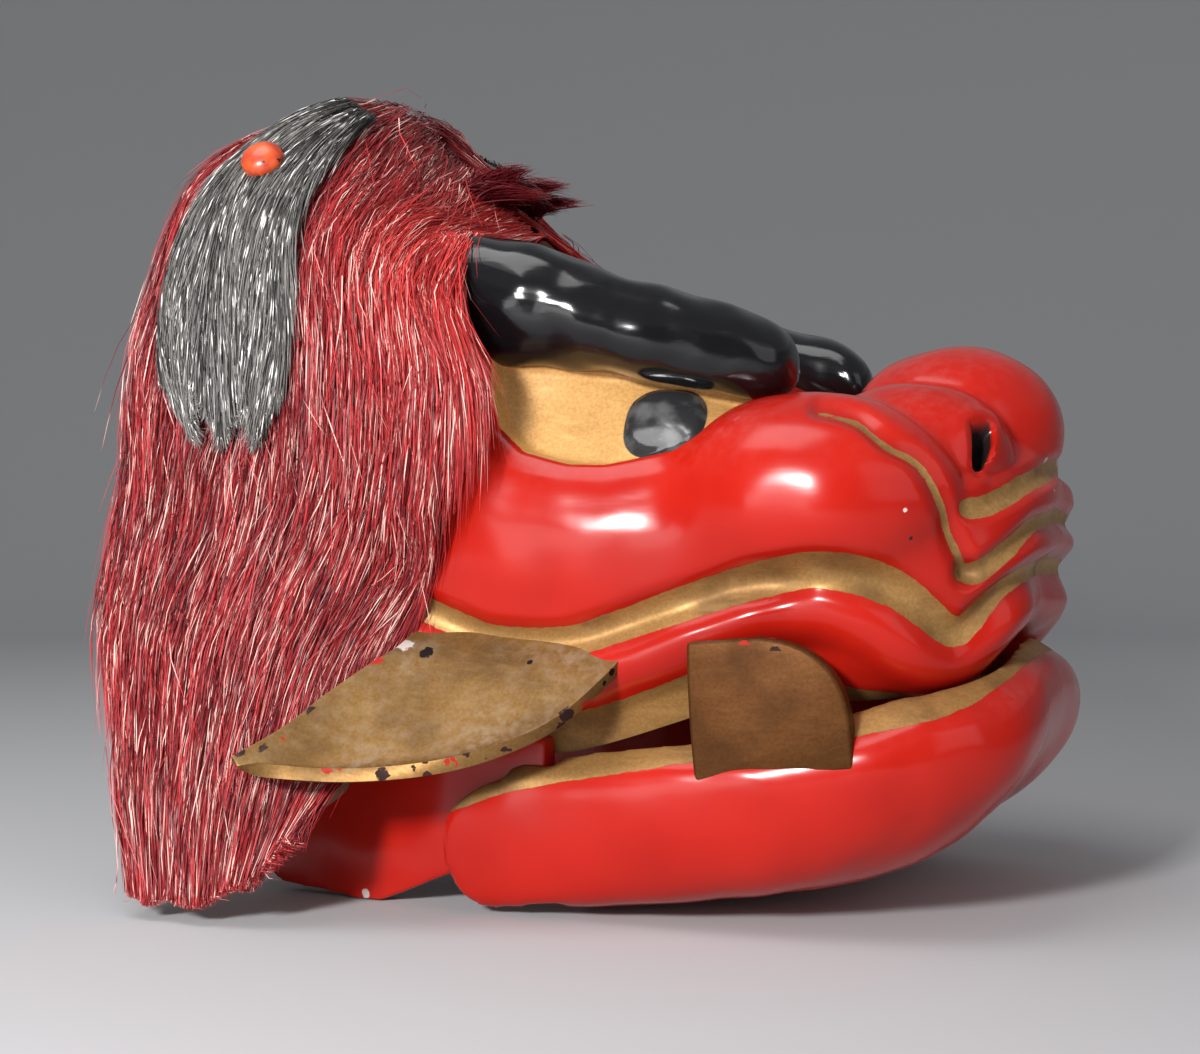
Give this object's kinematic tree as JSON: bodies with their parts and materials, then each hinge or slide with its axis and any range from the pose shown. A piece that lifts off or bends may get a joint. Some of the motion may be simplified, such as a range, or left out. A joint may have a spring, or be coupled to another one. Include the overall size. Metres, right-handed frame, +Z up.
{
  "type": "lion dance head",
  "caption": "Carved red lacquered lion dance head with a hinged snapping jaw, black brows, gilt eyes, ears and tusks, and a dyed hair mane over the crown.",
  "frame": {"origin": "floor level, under the middle of the head's overall box", "axes": "+X towards the nose, +Y towards the lion's left, +Z up"},
  "size_m": [0.3407, 0.304, 0.31],
  "materials": {
    "red_lacquer": "gloss lacquer over wood",
    "black_lacquer": "high gloss lacquer over wood",
    "gilt": "worn gold paint over wood",
    "tongue_paint": "painted wood",
    "bare_wood": "plain turned wood",
    "dyed_hair": "long dyed hair on hide",
    "dark_hair": "long grey black hair",
    "orange_stud": "glossy painted tack"
  },
  "bodies": {
    "head": {"head_shell": "red_lacquer", "hinge_rod": "bare_wood", "mane": "dyed_hair", "brow_right": "black_lacquer", "ear_right": "gilt", "hair_patch_right": "dark_hair", "tack_right": "orange_stud", "brow_left": "black_lacquer", "ear_left": "gilt", "hair_patch_left": "dark_hair", "tack_left": "orange_stud"},
    "jaw": {"lower_jaw": "red_lacquer", "tongue": "tongue_paint", "tusk_right": "gilt", "tusk_left": "gilt"}
  },
  "joints": [
    {"name": "jaw_hinge", "type": "hinge", "parent": "head", "child": "jaw", "pos_m": [-0.0076, 0, 0.024], "axis": [0, 1, 0], "range_deg": [0, 28]}
  ]
}
